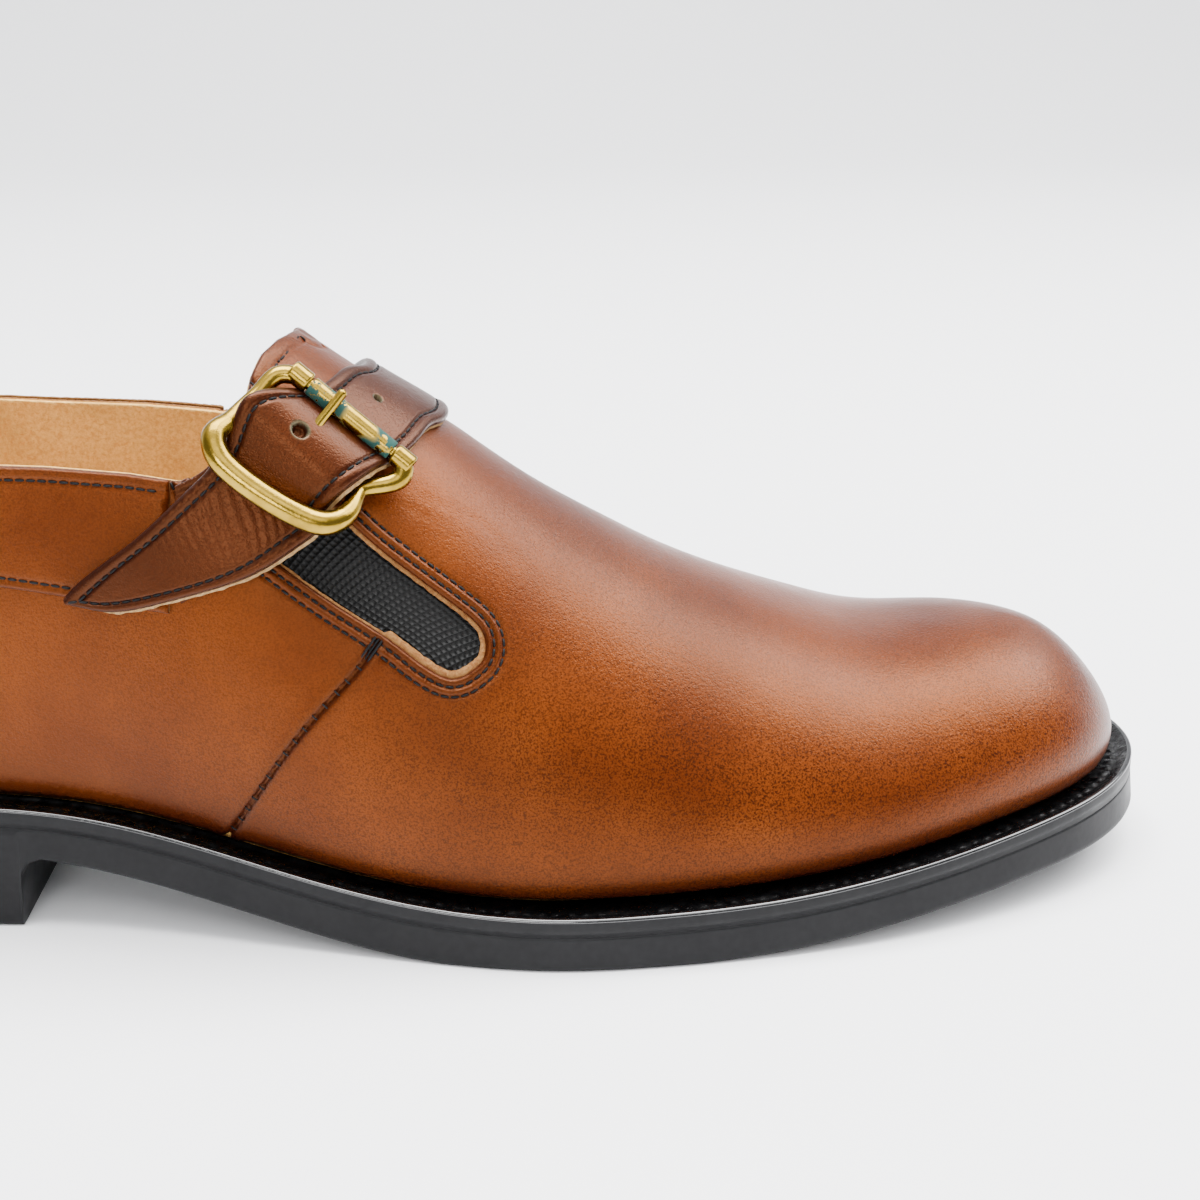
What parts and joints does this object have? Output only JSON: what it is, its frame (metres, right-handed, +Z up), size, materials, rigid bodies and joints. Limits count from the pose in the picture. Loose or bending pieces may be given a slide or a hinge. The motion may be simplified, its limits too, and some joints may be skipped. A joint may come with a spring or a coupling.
{
  "type": "monk strap shoe",
  "caption": "Right leather monk strap shoe with a buckled strap over the instep, elastic gores, a welt and a moulded rubber sole with heel.",
  "frame": {"origin": "on the floor, in the middle of the sole's box", "axes": "+X to the toe, +Y to the medial (inner) side of the foot, +Z up"},
  "size_m": [0.3, 0.1093, 0.1104],
  "materials": {
    "rubber": "semi-matt moulded rubber",
    "welt": "glossy black welt",
    "lining": "natural undyed lining leather",
    "leather": "polished grained brown leather",
    "strap_leather": "polished dark brown leather",
    "elastic": "ribbed black elastic",
    "brass": "worn cast brass"
  },
  "bodies": {
    "root": {"buckle_frame": "brass", "buckle_prong": "brass", "buckle_roller": "brass", "buckle_tab": "strap_leather", "gore_lateral": "elastic", "gore_medial": "elastic", "insole": "lining", "sole_unit": "rubber", "strap": "strap_leather", "upper": "leather", "welt": "welt"}
  },
  "joints": []
}
